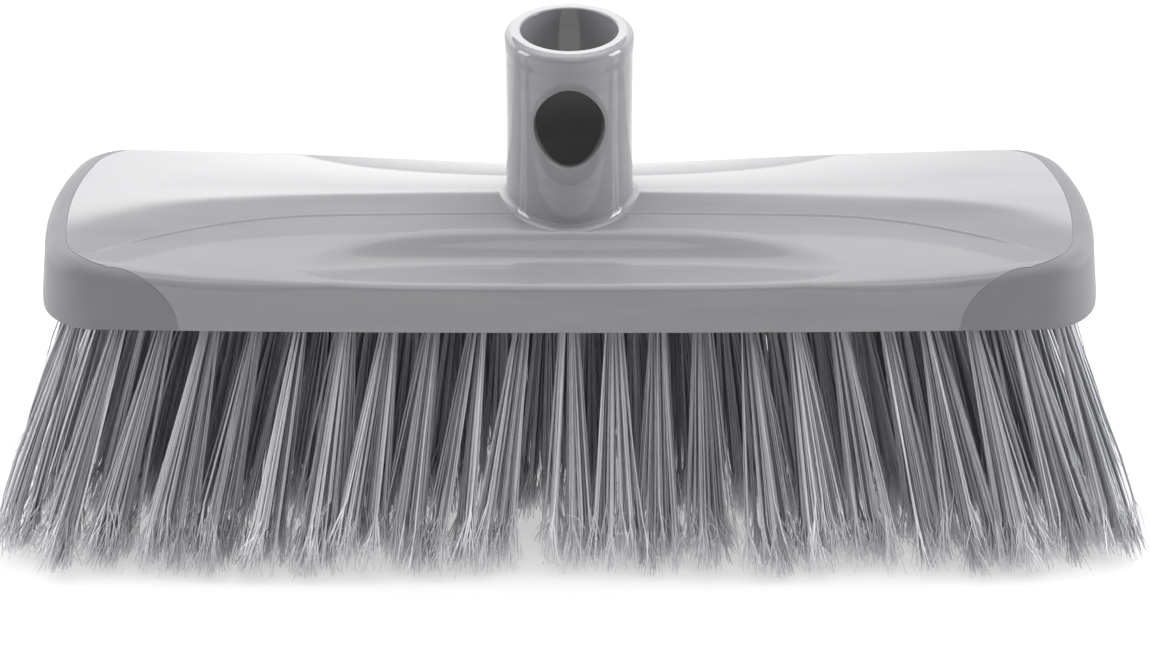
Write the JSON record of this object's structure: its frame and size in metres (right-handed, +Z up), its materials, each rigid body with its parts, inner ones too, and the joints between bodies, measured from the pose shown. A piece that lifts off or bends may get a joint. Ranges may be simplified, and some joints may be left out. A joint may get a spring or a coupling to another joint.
{
  "type": "broom head",
  "caption": "Sweeping-brush head with a glossy moulded cover, an upright socket for a push-in handle, soft end bumpers and flared bristle tufts.",
  "frame": {"origin": "on the floor under the middle of the head, at the level of the bristle tips", "axes": "+X along the length of the head, +Z up along the handle socket, -Y is the side with the oval lock window and the finger scoop"},
  "size_m": [0.3082, 0.101, 0.1322],
  "materials": {
    "gloss_cover": "gloss",
    "soft_bumper": "matte",
    "board_plastic": "satin",
    "bristle": "satin",
    "wire": "bare",
    "screw_steel": "zinc plated"
  },
  "bodies": {
    "root": {"cover_shell": "gloss_cover", "left_bumper": "soft_bumper", "right_bumper": "soft_bumper", "tuft_board": "board_plastic", "front_row_tufts": "bristle", "front_inner_row_tufts": "bristle", "middle_row_tufts": "bristle", "back_inner_row_tufts": "bristle", "back_row_tufts": "bristle", "front_row_anchors": "wire", "front_inner_row_anchors": "wire", "middle_row_anchors": "wire", "back_inner_row_anchors": "wire", "back_row_anchors": "wire", "board_screws": "screw_steel"}
  },
  "joints": []
}
